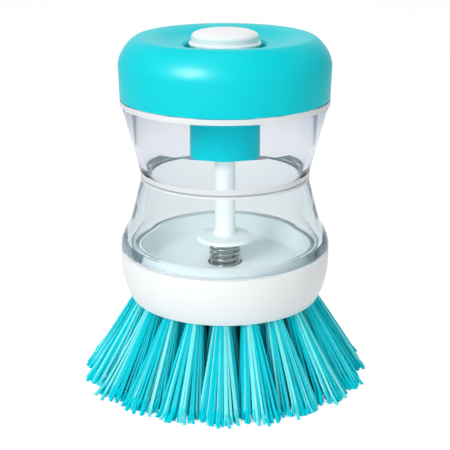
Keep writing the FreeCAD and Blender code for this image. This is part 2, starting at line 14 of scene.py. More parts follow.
import bpy
import numpy as np
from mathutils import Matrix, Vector

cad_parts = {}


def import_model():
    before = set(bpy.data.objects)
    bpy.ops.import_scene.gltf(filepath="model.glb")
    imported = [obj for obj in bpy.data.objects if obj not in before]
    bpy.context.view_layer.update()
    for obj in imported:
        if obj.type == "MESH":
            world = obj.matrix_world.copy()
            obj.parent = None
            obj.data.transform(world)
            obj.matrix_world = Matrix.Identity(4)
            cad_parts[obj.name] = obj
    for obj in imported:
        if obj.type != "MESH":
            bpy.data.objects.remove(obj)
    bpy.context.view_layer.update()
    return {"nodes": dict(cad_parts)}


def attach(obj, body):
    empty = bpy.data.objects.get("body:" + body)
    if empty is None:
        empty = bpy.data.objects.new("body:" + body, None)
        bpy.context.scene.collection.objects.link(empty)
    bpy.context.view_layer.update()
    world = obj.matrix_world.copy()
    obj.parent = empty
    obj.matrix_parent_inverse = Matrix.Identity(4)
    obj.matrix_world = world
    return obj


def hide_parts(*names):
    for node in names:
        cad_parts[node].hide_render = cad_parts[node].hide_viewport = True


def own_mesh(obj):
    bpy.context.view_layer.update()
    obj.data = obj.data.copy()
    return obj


LOG = logging.getLogger("dish_brush")
MM = 0.001
SMALL_TURN = 96
FINE_TURN = 160
LARGE_TURN = 192
SHARP_EDGE = math.radians(32)
EDGE_CRISP = 0.2
EDGE = 0.3
EDGE_SOFT = 0.4

Point = tuple[float, float]
Colour = tuple[float, float, float]
Faces = list[tuple[int, ...]]
Shape = tuple[np.ndarray, Faces]
Nodes = dict[str, bpy.types.Object]
Socket = bpy.types.NodeSocket
PURE_WHITE = (1.0, 1.0, 1.0)


class Body(Enum):
    """Rigid bodies of the frame that a new piece can ride on."""

    BASE = "base"
    CAP = "cap"
    BUTTON = "button"
    PLUNGER = "plunger"


class Slot(Enum):
    """Material slots of the record that a new piece takes its finish from."""

    CAP = "cap_teal"
    CORE = "core_teal"
    WHITE = "white_plastic"
    CLEAR = "clear_plastic"
    CUP = "cup_plastic"
    STEEL = "spring_steel"
    BRISTLE = "bristle"


def rgba(colour: Colour) -> tuple[float, ...]:
    """Returns a colour with full cover."""
    return (*colour, 1.0)


def shade(colour: Colour, factor: float) -> Colour:
    """Returns a colour made lighter or darker by a factor."""
    return tuple(min(1.0, channel * factor) for channel in colour)


class NodeTree:
    """Short way to add and join the nodes of one material or of the world."""

    def __init__(self, tree: bpy.types.NodeTree, output: str) -> None:
        """Starts from an empty tree with an output.

        Args:
            tree: Node tree to fill.
            output: Kind of its output node.
        """
        tree.nodes.clear()
        self.tree = tree
        self.output = self.add(output)

    def add(self, kind: str, **values: object) -> bpy.types.Node:
        """Adds a node.

        Args:
            kind: Blender's type name of the node, without its ShaderNode prefix.
            values: Node properties, or input sockets by name with _ for a space.

        Returns:
            The new node.
        """
        node = self.tree.nodes.new("ShaderNode" + kind)
        for key, value in values.items():
            socket = node.inputs.get(key.replace("_", " "))
            if socket is not None:
                socket.default_value = value
            else:
                setattr(node, key, value)
        return node

    def join(self, source: Socket, target: Socket) -> None:
        """Links an output socket to an input socket."""
        self.tree.links.new(source, target)

    def feed(self, node: bpy.types.Node, *sources: Socket) -> Socket:
        """Links sources to a node's first inputs, in order.

        Args:
            node: Node to feed.
            sources: Sockets to link.

        Returns:
            First output of the node.
        """
        for source, target in zip(sources, node.inputs):
            self.join(source, target)
        return node.outputs[0]

    def place(self) -> Socket:
        """Returns a socket with the place in object space, in metres."""
        return self.add("TexCoord").outputs["Object"]

    def noise(self, scale: float, detail: float = 2.0) -> Socket:
        """Returns a noise in object space, from its features per metre and octaves of detail."""
        return self.feed(self.add("TexNoise", Scale=scale, Detail=detail), self.place())

    def spread(self, source: Socket, **ends: float) -> Socket:
        """Returns a value mapped from one range to another, by the ends that aren't 0 and 1."""
        return self.feed(self.add("MapRange", **ends), source)

    def combine(self, operation: str, first: Socket, second: Socket) -> Socket:
        """Returns the result of a sum of two values, by Blender's name of the sum."""
        return self.feed(self.add("Math", operation=operation), first, second)

    def seen(self) -> Socket:
        """Returns 1 for a ray from the camera, or one mirrored or bent by the object, and 0 for the rest."""
        path = self.add("LightPath").outputs
        straight = self.combine("MAXIMUM", path["Is Camera Ray"], path["Is Glossy Ray"])
        return self.combine("MAXIMUM", straight, path["Is Transmission Ray"])

    def blend(self, share: Socket, first: Colour, second: Colour) -> Socket:
        """Mixes two colours.

        Args:
            share: Socket with the second colour's share.
            first: Colour at a share of 0.
            second: Colour at a share of 1.

        Returns:
            Socket with the mixed colour.
        """
        node = self.add("Mix", data_type="RGBA")
        share_input, first_input, second_input, colour_output = 0, 6, 7, 2
        node.inputs[first_input].default_value = rgba(first)
        node.inputs[second_input].default_value = rgba(second)
        self.join(share, node.inputs[share_input])
        return node.outputs[colour_output]

    def mix(self, share: Socket, first: Socket, second: Socket) -> Socket:
        """Returns a mix of two shaders, which is all the second at a share of 1."""
        return self.feed(self.add("MixShader"), share, first, second)

    def bump(self, height: Socket, depth: float, shader: bpy.types.Node) -> None:
        """Gives a shader a bump.

        Args:
            height: Socket with the height from 0 to 1.
            depth: Height of 1, in millimetres.
            shader: Shader whose normal is bumped.
        """
        node = self.add("Bump", Distance=depth * MM)
        self.join(height, node.inputs["Height"])
        self.join(node.outputs["Normal"], shader.inputs["Normal"])


def new_material(name: str, **values: object) -> tuple[bpy.types.Material, NodeTree, bpy.types.Node]:
    """Makes a material with one Principled shader.

    Args:
        name: Name of the material.
        values: The shader's input sockets by name, with _ for a space.

    Returns:
        The material, its tree and its shader.
    """
    material = bpy.data.materials.new(name)
    material.use_nodes = True
    tree = NodeTree(material.node_tree, "OutputMaterial")
    shader = tree.add("BsdfPrincipled", **values)
    tree.join(shader.outputs["BSDF"], tree.output.inputs["Surface"])
    return material, tree, shader


@dataclass(frozen=True)
class Moulding:
    """Moulded plastic with a faint cloud in its colour and a fine spark-eroded grain."""

    name: str
    colour: Colour
    roughness: float = 0.4
    unevenness: float = 0.05
    smudge_scale: float = 360.0
    cloud: float = 0.03
    cloud_scale: float = 60.0
    cloud_detail: float = 3.0
    grain_scale: float = 3500.0
    grain_depth: float = 0.004
    subsurface: float = 0.0
    subsurface_depth: float = 1.5
    specular: float = 0.5
    see_through: float = 0.0

    def material(self) -> bpy.types.Material:
        """Returns a new material with the finish."""
        material, tree, shader = new_material(
            self.name, Specular_IOR_Level=self.specular, Transmission_Weight=self.see_through,
            Subsurface_Weight=self.subsurface, Subsurface_Radius=PURE_WHITE,
            Subsurface_Scale=self.subsurface_depth * MM)
        cloud = tree.noise(self.cloud_scale, self.cloud_detail)
        tint = tree.blend(cloud, shade(self.colour, 1.0 - self.cloud), shade(self.colour, 1.0 + self.cloud))
        tree.join(tint, shader.inputs["Base Color"])
        rough = tree.spread(tree.noise(self.smudge_scale), To_Min=self.roughness - self.unevenness,
                            To_Max=self.roughness + self.unevenness)
        tree.join(rough, shader.inputs["Roughness"])
        tree.bump(tree.noise(self.grain_scale), self.grain_depth, shader)
        return material


@dataclass(frozen=True)
class ClearMoulding:
    """Clear plastic that lets lamps in, its colour greyer towards the moulded seam as painted shade."""

    name: str
    colour: Colour
    painted_seam_shade: Colour
    absorption: Colour
    density: float
    clear_z: float
    seam_z: float = 59.2
    ior: float = 1.13
    mirror: float = 0.5
    wave_scale: float = 45.0
    wave_depth: float = 0.02

    def material(self) -> bpy.types.Material:
        """Returns a new material with the finish."""
        material, tree, shader = new_material(
            self.name, Transmission_Weight=1.0, IOR=self.ior, Roughness=0.0,
            Specular_Tint=rgba((self.mirror, self.mirror, self.mirror)))
        place = tree.add("SeparateXYZ")
        tree.join(tree.place(), place.inputs["Vector"])
        # Painted shade: the base colour fades from the grey seam shade at the waist to the clear colour away
        # from it.
        seam_shade_fade = tree.spread(place.outputs["Z"], From_Min=self.seam_z * MM, From_Max=self.clear_z * MM)
        tree.join(tree.blend(seam_shade_fade, self.painted_seam_shade, self.colour), shader.inputs["Base Color"])
        tree.bump(tree.noise(self.wave_scale), self.wave_depth, shader)
        lamp_way = tree.add("BsdfTransparent", Color=rgba(self.colour))
        path = tree.add("LightPath")
        mixed = tree.mix(path.outputs["Is Shadow Ray"], shader.outputs["BSDF"], lamp_way.outputs["BSDF"])
        inside = tree.add("VolumeAbsorption", Color=rgba(self.absorption), Density=self.density)
        tree.join(mixed, tree.output.inputs["Surface"])
        tree.join(inside.outputs["Volume"], tree.output.inputs["Volume"])
        return material


@dataclass(frozen=True)
class SpringWire:
    """Drawn steel wire with faint draw marks along it."""

    name: str
    colour: Colour
    roughness: float
    smoother: float = 0.06
    rougher: float = 0.08
    mark_scale: float = 2600.0
    mark_detail: float = 4.0
    mark_shade: float = 0.82
    mark_depth: float = 0.006

    def material(self) -> bpy.types.Material:
        """Returns a new material with the finish."""
        material, tree, shader = new_material(self.name, Metallic=1.0)
        marks = tree.noise(self.mark_scale, self.mark_detail)
        tint = tree.blend(marks, shade(self.colour, self.mark_shade), self.colour)
        tree.join(tint, shader.inputs["Base Color"])
        rough = tree.spread(marks, To_Min=self.roughness - self.smoother,
                            To_Max=self.roughness + self.rougher)
        tree.join(rough, shader.inputs["Roughness"])
        tree.bump(marks, self.mark_depth, shader)
        return material


@dataclass(frozen=True)
class Nylon:
    """Bristle filaments, each with its own tone and a darker trimmed tip; the light colour's whitish tint is
    painted highlight.
    """

    name: str
    dark: Colour
    light: Colour
    dark_roughness: float = 0.4
    light_roughness: float = 0.26
    specular: float = 0.04
    translucence: float = 0.35
    glow_reach: Colour = (0.3, 1.0, 1.0)
    glow_depth: float = 0.6

    def material(self) -> bpy.types.Material:
        """Returns a new material with the finish."""
        material, tree, shader = new_material(
            self.name, Specular_IOR_Level=self.specular, Subsurface_Weight=self.translucence,
            Subsurface_Radius=self.glow_reach, Subsurface_Scale=self.glow_depth * MM)
        tone = tree.add("Attribute", attribute_name="tone").outputs["Fac"]
        tree.join(tree.blend(tone, self.dark, self.light), shader.inputs["Base Color"])
        rough = tree.spread(tone, To_Min=self.dark_roughness, To_Max=self.light_roughness)
        tree.join(rough, shader.inputs["Roughness"])
        return material


Finish = Moulding | ClearMoulding | SpringWire | Nylon
CAP_FINISH = Moulding("cap_teal_satin", (0.001, 0.62, 0.69), roughness=0.37, cloud=0.02, specular=0.1)
CORE_FINISH = Moulding("core_teal_gloss", (0.001, 0.6, 0.68), grain_depth=0.002, specular=0.05)
WHITE_FINISH = Moulding("white_satin", (0.87, 0.88, 0.885), roughness=0.42, cloud=0.012, subsurface=0.08)
ROD_FINISH = Moulding("rod_white", (0.93, 0.925, 0.915), roughness=0.36, cloud=0.015, subsurface=0.08)
CUP_FINISH = Moulding("cup_pale_aqua", (0.88, 0.92, 0.92), roughness=0.5, cloud=0.02, grain_depth=0.001,
                      subsurface=0.2, specular=0.2)
SILICONE_FINISH = Moulding("seal_silicone", (0.84, 0.87, 0.87), roughness=0.5, cloud=0.05, subsurface=0.25)
BLOCK_FINISH = Moulding("block_white", (0.8, 0.83, 0.83), roughness=0.45, cloud=0.02, grain_depth=0.008)
# Each shell's seam colour is painted shade that greys the clear plastic towards the waist.
UPPER_FINISH = ClearMoulding("reservoir_clear_upper", (0.985, 0.987, 0.99), painted_seam_shade=(0.87, 0.89, 0.915),
                             absorption=(0.64, 0.69, 0.77), density=105.0, clear_z=72.0)
LOWER_FINISH = ClearMoulding("reservoir_clear_lower", (0.94, 0.955, 0.955), painted_seam_shade=(0.86, 0.9, 0.91),
                             absorption=(0.56, 0.68, 0.73), density=58.0, clear_z=46.0)
# Whitish frosted finish of the lines on the shells: painted highlight on the bands.
FROST_HIGHLIGHT_FINISH = Moulding("reservoir_frosted_highlight_band", (0.97, 0.98, 0.98), roughness=0.35, cloud=0.02,
                        grain_depth=0.002, specular=0.3, see_through=0.35)
# Grey finish of the weld seam ring: the joint line, with the shade in its gap painted on.
SEAM_SHADE_FINISH = Moulding("reservoir_weld_seam_shade", (0.4, 0.46, 0.5), cloud=0.02, grain_depth=0.002, specular=0.2)
SPRING_FINISH = SpringWire("spring_wire", (0.5, 0.53, 0.51), roughness=0.12)
ANCHOR_FINISH = SpringWire("anchor_strip", (0.6, 0.6, 0.58), roughness=0.35)
# The light colour is whitish teal, so that the pale strands carry a painted highlight as well as their own
# tone.
BRISTLE_FINISH = Nylon("bristle_nylon", dark=(0.001, 0.64, 0.75), light=(0.3, 1.0, 1.0))


def fillet(before: Point, corner: Point, after: Point, radius: float, steps: int = 5) -> list[Point]:
    """Rounds one corner of an outline.

    Args:
        before: Outline's point before the corner.
        corner: The corner.
        after: Outline's point after the corner.
        radius: Radius of the round.
        steps: Edges along the round.

    Returns:
        Points along the round.
    """
    here = np.array(corner)
    back = np.array(before) - here
    onward = np.array(after) - here
    back /= np.linalg.norm(back)
    onward /= np.linalg.norm(onward)
    half = math.acos(max(-1.0, min(1.0, float(back @ onward)))) / 2
    bisector = (back + onward) / np.linalg.norm(back + onward)
    centre = here + bisector * radius / math.sin(half)
    first = here + back * radius / math.tan(half) - centre
    last = here + onward * radius / math.tan(half) - centre
    sweep = math.pi - 2 * half
    points = []
    for step in range(steps + 1):
        share = step / steps
        blend = (first * math.sin((1 - share) * sweep) + last * math.sin(share * sweep)) / math.sin(sweep)
        points.append(tuple(centre + blend))
    return points


def rounded_outline(corners: list[tuple[float, ...]]) -> list[Point]:
    """Turns corners into an outline's points.

    Args:
        corners: (radius, height), or (radius, height, round) for a rounded corner, round the outline.

    Returns:
        Points of the closed outline.
    """
    points: list[Point] = []
    for index, corner in enumerate(corners):
        if len(corner) == 2:
            points.append((corner[0], corner[1]))
            continue
        before = corners[index - 1][:2]
        after = corners[(index + 1) % len(corners)][:2]
        points += fillet(before, corner[:2], after, corner[2])
    return points


def curve(*poles: Point, steps: int = 16) -> list[Point]:
    """Samples a cubic curve.

    Args:
        poles: Start, two handles and end.
        steps: Edges along the curve.

    Returns:
        Points from the start to the end.
    """
    start, first, second, end = (np.array(pole) for pole in poles)
    points = []
    for step in range(steps + 1):
        t = step / steps
        u = 1 - t
        points.append(tuple(u ** 3 * start + 3 * u * u * t * first + 3 * u * t * t * second + t ** 3 * end))
    return points


def turned(outline: list[Point], segments: int = FINE_TURN) -> Shape:
    """Turns a closed outline about Z.

    Args:
        outline: (radius, height) points in millimetres, anticlockwise with the radius to the right.
        segments: Facets round the axis.

    Returns:
        Vertices in metres and faces of the closed solid.
    """
    axis_reach = 1e-7
    profile = np.array(outline) * MM
    angles = np.arange(segments) * 2 * math.pi / segments
    on_axis = profile[:, 0] < axis_reach
    vertices: list[tuple[float, float, float]] = []
    rows: list[list[int]] = []
    for (radius, height), central in zip(profile, on_axis):
        start = len(vertices)
        if central:
            vertices.append((0.0, 0.0, height))
            rows.append([start] * segments)
            continue
        vertices += [(radius * math.cos(angle), radius * math.sin(angle), height) for angle in angles]
        rows.append(list(range(start, start + segments)))
    faces = []
    for index, row in enumerate(rows):
        following = rows[(index + 1) % len(rows)]
        if on_axis[index] and on_axis[(index + 1) % len(rows)]:
            continue
        for step in range(segments):
            other = (step + 1) % segments
            corners = [row[step], row[other], following[other], following[step]]
            faces.append(tuple(dict.fromkeys(corners)))
    return np.array(vertices), faces


def sleeve_faces(rows: int, sides: int) -> Faces:
    """Lists the faces of a closed sleeve of rings.

    Args:
        rows: Rings along the sleeve.
        sides: Points in each ring.

    Returns:
        Corners of each face, with the two ends last.
    """
    faces: Faces = []
    last = (rows - 1) * sides
    for start in range(0, last, sides):
        for side in range(sides):
            other = (side + 1) % sides
            faces.append((start + side, start + other, start + sides + other, start + sides + side))
    return faces + [tuple(reversed(range(sides))), tuple(range(last, last + sides))]


def thread_ridge(base: float, crest: float, low_z: float, lead: float = 3.2) -> Shape:
    """Makes one turn of a right-handed screw thread.

    Args:
        base: Radius of the ridge's foot.
        crest: Radius of its crest, inside or outside the foot.
        low_z: Height of its start.
        lead: Rise in one turn.

    Returns:
        Vertices in metres and faces of the ridge.
    """
    half_foot = 0.7
    half_crest = 0.35
    profile = [(base, half_foot), (crest, half_crest), (crest, -half_crest), (base, -half_foot)]
    if crest < base:
        profile.reverse()
    vertices = []
    for step in range(SMALL_TURN + 1):
        angle = 2 * math.pi * step / SMALL_TURN
        centre_z = low_z + lead * step / SMALL_TURN
        vertices += [(radius * math.cos(angle), radius * math.sin(angle), centre_z + height)
                     for radius, height in profile]
    return np.array(vertices) * MM, sleeve_faces(SMALL_TURN + 1, len(profile))


def joined(*shapes: Shape) -> Shape:
    """Puts several closed shapes into one.

    Args:
        shapes: Vertices and faces of each.

    Returns:
        Vertices and faces of all.
    """
    faces: Faces = []
    offset = 0
    for vertices, own_faces in shapes:
        faces += [tuple(corner + offset for corner in face) for face in own_faces]
        offset += len(vertices)
    return np.concatenate([vertices for vertices, _ in shapes]), faces


def unit(ways: np.ndarray) -> np.ndarray:
    """Returns directions with a length of 1."""
    return ways / np.linalg.norm(ways, axis=1)[:, None]


def circles(across: np.ndarray, upward: np.ndarray, sides: int) -> np.ndarray:
    """Makes a circle of radius 1 for each pair of directions.

    Args:
        across: First direction of each circle.
        upward: Second direction of each.
        sides: Points in a circle.

    Returns:
        Points by circle and side.
    """
    angles = np.arange(sides)[None, :, None] * 2 * math.pi / sides
    return across[:, None, :] * np.cos(angles) + upward[:, None, :] * np.sin(angles)


def tube(path: np.ndarray, radius: float, sides: int = 14) -> Shape:
    """Sweeps a round wire along a path.

    Args:
        path: Points along the wire, in metres.
        radius: Radius of the wire, in metres.
        sides: Facets round the wire.

    Returns:
        Vertices in metres and faces of the closed wire.
    """
    ways = unit(np.gradient(path, axis=0))
    across = unit(np.cross(ways, (0.0, 0.0, 1.0)))
    rings = path[:, None, :] + radius * circles(across, np.cross(across, ways), sides)
    return rings.reshape(-1, 3), sleeve_faces(len(path), sides)


def mesh_object(name: str, vertices: np.ndarray, faces: Faces) -> bpy.types.Object:
    """Makes a smooth-shaded object.

    Args:
        name: Name of the piece.
        vertices: Points in the row frame, in metres.
        faces: Corners of each face.

    Returns:
        The new object, in the scene.
    """
    mesh = bpy.data.meshes.new(name)
    mesh.from_pydata(vertices.tolist(), [], faces)
    mesh.validate()
    mesh.polygons.foreach_set("use_smooth", [True] * len(mesh.polygons))
    mesh.set_sharp_from_angle(angle=SHARP_EDGE)
    piece = bpy.data.objects.new(name, mesh)
    bpy.context.scene.collection.objects.link(piece)
    return piece


def paint(piece: bpy.types.Object, material: bpy.types.Material) -> None:
    """Puts one material on a piece or a frame node."""
    if not piece.material_slots:
        piece.data.materials.append(material)
    for place in piece.material_slots:
        place.material = material


@cache
def finished(finish: Finish) -> bpy.types.Material:
    """Returns the one material of a finish."""
    return finish.material()


def fit(name: str, shape: Shape, finish: Finish, body: Body,
        node: str | None) -> bpy.types.Object:
    """Args:
        name: Name of the piece.
        shape: Vertices in metres and faces, in place.
        finish: Finish of the whole piece.
        body: Body that it rides on.
        node: Frame node that it stands for, or None for trim that the frame doesn't have.

    Returns:
        The new piece.
    """
    piece = mesh_object(name, *shape)
    paint(piece, finished(finish))
    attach(piece, body.value)
    if node is not None:
        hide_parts(node)
    LOG.info("%s rides on %s and stands for %s", name, body.value, node or "trim")
    return piece


@dataclass
class Cap:
    """Teal soft shell of the screw cap."""

    rim_z: float = 81.2
    rim_radius: float = 29.2
    bore: float = 27.8
    side_radius: float = 29.5
    side_z: float = 90.3
    crown_radius: float = 24.0
    crown_z: float = 98.1
    crown_handle: float = 1.6
    shoulder_handle: float = 3.7
    lip_radius: float = 11.2
    lip_z: float = 96.0
    lip_round: float = 1.3
    core_top_z: float = 92.8
    core_gap: float = 0.1
    well_radius: float = 13.4
    ceiling_drop: float = 2.0

    def outline(self) -> list[Point]:
        """Returns the outline of the shell, with its dished crown and rolled recess."""
        dish = (self.crown_radius + self.lip_radius) / 2
        lip = (self.lip_radius + self.lip_round, self.lip_z)
        recess = (self.lip_radius, self.lip_z - self.lip_round)
        crown = (self.crown_radius, self.crown_z)
        side = (self.side_radius, self.side_z)
        ceiling = (self.crown_radius, self.crown_z - self.ceiling_drop)
        inner = (self.bore, self.core_top_z + self.core_gap)
        outline = rounded_outline([(self.bore, self.rim_z), (self.rim_radius, self.rim_z, EDGE_SOFT), side])
        outline += curve(side, (self.side_radius, self.side_z + self.shoulder_handle),
                         (self.crown_radius + self.crown_handle, self.crown_z), crown, steps=24)[1:]
        outline += curve(crown, (dish, self.crown_z), (dish, self.lip_z), lip, steps=20)[1:]
        outline += fillet((self.crown_radius, self.lip_z), (self.lip_radius, self.lip_z), recess,
                          self.lip_round, steps=9)[1:]
        outline += [(self.lip_radius, self.core_top_z), (self.well_radius, self.core_top_z),
                    (self.well_radius, self.lip_z - self.ceiling_drop), ceiling]
        return outline + curve(ceiling, (self.crown_radius + self.crown_handle / 2, ceiling[1]),
                               (self.bore, inner[1] + self.shoulder_handle / 2), inner)[1:]

    def build(self) -> None:
        """Makes the shell."""
        fit("cap_shell", turned(self.outline(), LARGE_TURN), CAP_FINISH, Body.CAP, "cap_cover")


@dataclass
class CapCore:
    """Teal inner cap: threaded plug, disc and the boss that guides the rod."""

    boss_z: float = 64.9
    boss_radius: float = 9.75
    boss_bore: float = 8.6
    boss_floor_z: float = 67.2
    boss_edge: float = 1.0
    rod_hole: float = 3.5
    disc_z: float = 91.2
    top_z: float = 92.8
    disc_radius: float = 27.7
    button_lip: float = 8.0
    plug_radius: float = 24.2
    plug_bore: float = 22.6
    plug_z: float = 80.6
    thread_base: float = 23.8
    thread_crest: float = 25.35
    thread_z: float = 82.6

    def outline(self) -> list[Point]:
        """Returns the outline of the core without its thread."""
        return rounded_outline([
            (self.rod_hole, self.boss_z), (self.boss_radius, self.boss_z, self.boss_edge),
            (self.boss_radius, self.disc_z), (self.plug_bore, self.disc_z),
            (self.plug_bore, self.plug_z, EDGE), (self.plug_radius, self.plug_z, EDGE_SOFT),
            (self.plug_radius, self.disc_z),
            (self.disc_radius, self.disc_z), (self.disc_radius, self.top_z), (self.button_lip, self.top_z),
            (self.button_lip, self.disc_z), (self.boss_bore, self.disc_z),
            (self.boss_bore, self.boss_floor_z), (self.rod_hole, self.boss_floor_z)])

    def build(self) -> None:
        """Makes the core."""
        ridge = thread_ridge(self.thread_base, self.thread_crest, self.thread_z)
        fit("core_boss", joined(turned(self.outline()), ridge), CORE_FINISH, Body.CAP, "cap_core")

    def dress(self, nodes: Nodes) -> None:
        """Finishes the frame nodes of the seals and the bush."""
        paint(nodes["rod_guide_bush"], finished(WHITE_FINISH))
        paint(nodes["cap_gasket"], finished(SILICONE_FINISH))
        paint(nodes["rod_seal"], finished(SILICONE_FINISH))


@dataclass
class Button:
    """White push button whose side sweeps out into its flange, with its retaining bead and rod socket."""

    top_z: float = 100.0
    dome: float = 0.35
    radius: float = 9.3
    edge: float = 1.7
    flange_z: float = 95.6
    flange_top_z: float = 96.5
    flange_radius: float = 9.95
    flange_edge: float = 0.3
    sweep: float = 0.55
    skirt_radius: float = 7.7
    skirt_bore: float = 6.4
    bead_radius: float = 8.3
    bead_z: float = 90.1
    bead_top_z: float = 90.9
    ceiling_z: float = 98.45
    socket_z: float = 89.65
    socket_end_z: float = 96.85
    socket_bore: float = 3.1
    socket_radius: float = 4.5

    def outline(self) -> list[Point]:
        """Returns the outline of the button."""
        rim_z = self.top_z - self.dome
        side = (self.radius, rim_z - self.edge)
        ledge = (self.flange_radius - self.flange_edge, self.flange_top_z)
        outline = rounded_outline([
            (0.0, self.socket_end_z), (self.socket_bore, self.socket_end_z),
            (self.socket_bore, self.socket_z), (self.socket_radius, self.socket_z),
            (self.socket_radius, self.ceiling_z), (self.skirt_bore, self.ceiling_z),
            (self.skirt_bore, self.bead_z), (self.bead_radius, self.bead_z),
            (self.bead_radius, self.bead_top_z), (self.skirt_radius, self.bead_top_z),
            (self.skirt_radius, self.flange_z), (self.flange_radius, self.flange_z, self.flange_edge),
            (self.flange_radius, self.flange_top_z, self.flange_edge), ledge])[:-1]
        outline += curve(ledge, (self.radius, self.flange_top_z),
                         (self.radius, self.flange_top_z + self.sweep), side)[1:]
        return outline + curve(side, (self.radius, rim_z), (self.radius / 2, self.top_z), (0.0, self.top_z),
                               steps=20)[1:]

    def build(self) -> None:
        """Makes the button."""
        fit("button_top", turned(self.outline()), WHITE_FINISH, Body.BUTTON, "push_button")


@dataclass
class Reservoir:
    """Clear soap container in two shells that meet at the waist, with whitish frosted lines on them as
    painted highlights.
    """

    collar_z: float = 37.5
    foot_radius: float = 29.8
    foot_edge: float = 0.35
    rim_gap: float = -0.03
    spigot_z: float = 33.4
    spigot_radius: float = 27.9
    spigot_bore: float = 24.6
    chamber_radius: float = 26.4
    chamber_reach: float = 1.7
    chamber_lean: float = 0.35
    throat_radius: float = 22.9
    throat_reach: float = 4.6
    ledge_z: float = 39.3
    shoulder_z: float = 38.4
    shoulder_reach: float = 3.8
    flare_z: float = 48.1
    flare_radius: float = 26.3
    flare_reach: float = 4.5
    waist_z: float = 59.2
    waist_radius: float = 23.7
    waist_bore: float = 21.6
    waist_band: float = 1.4
    waist_round_low: float = 1.2
    waist_round_high: float = 1.0
    seam_gap: float = 0.03
    seam_edge: float = 0.25
    tongue_width: float = 0.7
    tongue_height: float = 0.9
    tongue_gap: float = 0.05
    tongue_top_gap: float = 0.1
    bead: float = 0.5
    bead_height: float = 0.9
    bead_edge: float = 0.15
    cone_z: float = 79.3
    cone_radius: float = 28.85
    cone_edge: float = 0.15
    band_radius: float = 29.1
    band_z: float = 81.1
    band_edge: float = 0.1
    groove_z: float = 80.1
    groove: float = 0.2
    neck_radius: float = 27.5
    mouth_z: float = 90.0
    mouth_radius: float = 25.8
    mouth_step_z: float = 81.6
    bore_radius: float = 24.5
    bore_z: float = 69.2
    thread_base: float = 26.2
    thread_crest: float = 24.65
    thread_z: float = 84.2
    line_gap: float = 0.02
    line_depth: float = 0.12
    line_edge: float = 0.06
    line_flare: float = 0.25
    neck_line_rise: float = 0.3
    weld_half: float = 0.2
    weld_clear: float = 0.25
    upper_line: float = 1.75
    lower_line: float = 0.9
    ledge_line: float = 25.5
    ledge_width: float = 0.5

    def tongue(self) -> float:
        """Returns the inner radius of the tongue, in the middle of the waist's wall."""
        return self.waist_bore + (self.waist_radius - self.waist_bore - self.tongue_width) / 2

    def lower_outline(self) -> list[Point]:
        """Returns the outline of the lower shell."""
        band_low = self.waist_z - self.waist_band / 2
        slope = (self.flare_radius - self.waist_radius) / (band_low - self.flare_z)
        tongue = self.tongue()
        tongue_top = self.waist_z + self.tongue_height
        foot_z = self.collar_z + self.rim_gap
        bead = self.waist_bore - self.bead
        bead_z = self.waist_z - self.bead_height
        shoulder = (self.foot_radius, self.shoulder_z)
        flare = (self.flare_radius, self.flare_z)
        throat = (self.throat_radius, self.flare_z)
        chamber = (self.chamber_radius, self.ledge_z)
        outline = rounded_outline([
            chamber, (self.spigot_bore, self.ledge_z, EDGE),
            (self.spigot_bore, self.spigot_z), (self.spigot_radius, self.spigot_z, EDGE),
            (self.spigot_radius, foot_z), (self.foot_radius, foot_z, self.foot_edge)])
        outline += curve(shoulder, (self.foot_radius, self.shoulder_z + self.shoulder_reach),
                         (self.flare_radius + slope * self.flare_reach, self.flare_z - self.flare_reach),
                         flare, steps=24)
        outline += rounded_outline([
            flare, (self.waist_radius, band_low, self.waist_round_low),
            (self.waist_radius, self.waist_z, self.seam_edge),
            (tongue + self.tongue_width, self.waist_z), (tongue + self.tongue_width, tongue_top),
            (tongue, tongue_top), (tongue, self.waist_z), (bead, self.waist_z, self.bead_edge),
            (bead, bead_z, EDGE), (self.waist_bore + slope * self.bead_height, bead_z)])[1:]
        return outline + curve(
            throat, (self.throat_radius + slope * self.throat_reach, self.flare_z - self.throat_reach),
            (self.chamber_radius - self.chamber_lean, self.ledge_z + self.chamber_reach),
            chamber, steps=20)[:-1]

    def upper_outline(self) -> list[Point]:
        """Returns the outline of the upper shell."""
        low = self.waist_z + self.seam_gap
        band_high = self.waist_z + self.waist_band / 2
        slot_in = self.tongue() - self.tongue_gap
        slot_out = self.tongue() + self.tongue_width + self.tongue_gap
        slot_top = self.waist_z + self.tongue_height + self.tongue_top_gap
        ramp = self.mouth_radius - self.bore_radius
        bead = self.waist_bore - self.bead
        bead_z = self.waist_z + self.bead_height
        slope = (self.bore_radius - self.waist_bore) / (self.bore_z - self.waist_z)
        return rounded_outline([
            (bead, low, self.bead_edge), (slot_in, low), (slot_in, slot_top), (slot_out, slot_top),
            (slot_out, low), (self.waist_radius, low, self.seam_edge),
            (self.waist_radius, band_high, self.waist_round_high),
            (self.cone_radius, self.cone_z, self.cone_edge), (self.band_radius, self.cone_z, self.band_edge),
            (self.band_radius, self.groove_z - self.groove), (self.band_radius - self.groove, self.groove_z),
            (self.band_radius, self.groove_z + self.groove), (self.band_radius, self.band_z, EDGE),
            (self.neck_radius, self.band_z, EDGE), (self.neck_radius, self.mouth_z, EDGE),
            (self.mouth_radius, self.mouth_z, EDGE), (self.mouth_radius, self.mouth_step_z),
            (self.bore_radius, self.mouth_step_z - ramp, EDGE_SOFT), (self.bore_radius, self.bore_z, EDGE),
            (self.waist_bore + slope * self.bead_height, bead_z), (bead, bead_z, EDGE)])

    def line_outline(self, low: Point, high: Point) -> list[Point]:
        """Returns the outline of a line just off the outside of a shell.

        Args:
            low: Point of the shell at the lower edge of the line.
            high: Point of the shell at the upper edge.

        Returns:
            Points of the outline.
        """
        reach = self.line_gap + self.line_depth
        return rounded_outline([
            (low[0] + self.line_gap, low[1]), (low[0] + reach, low[1], self.line_edge),
            (high[0] + reach, high[1], self.line_edge), (high[0] + self.line_gap, high[1])])

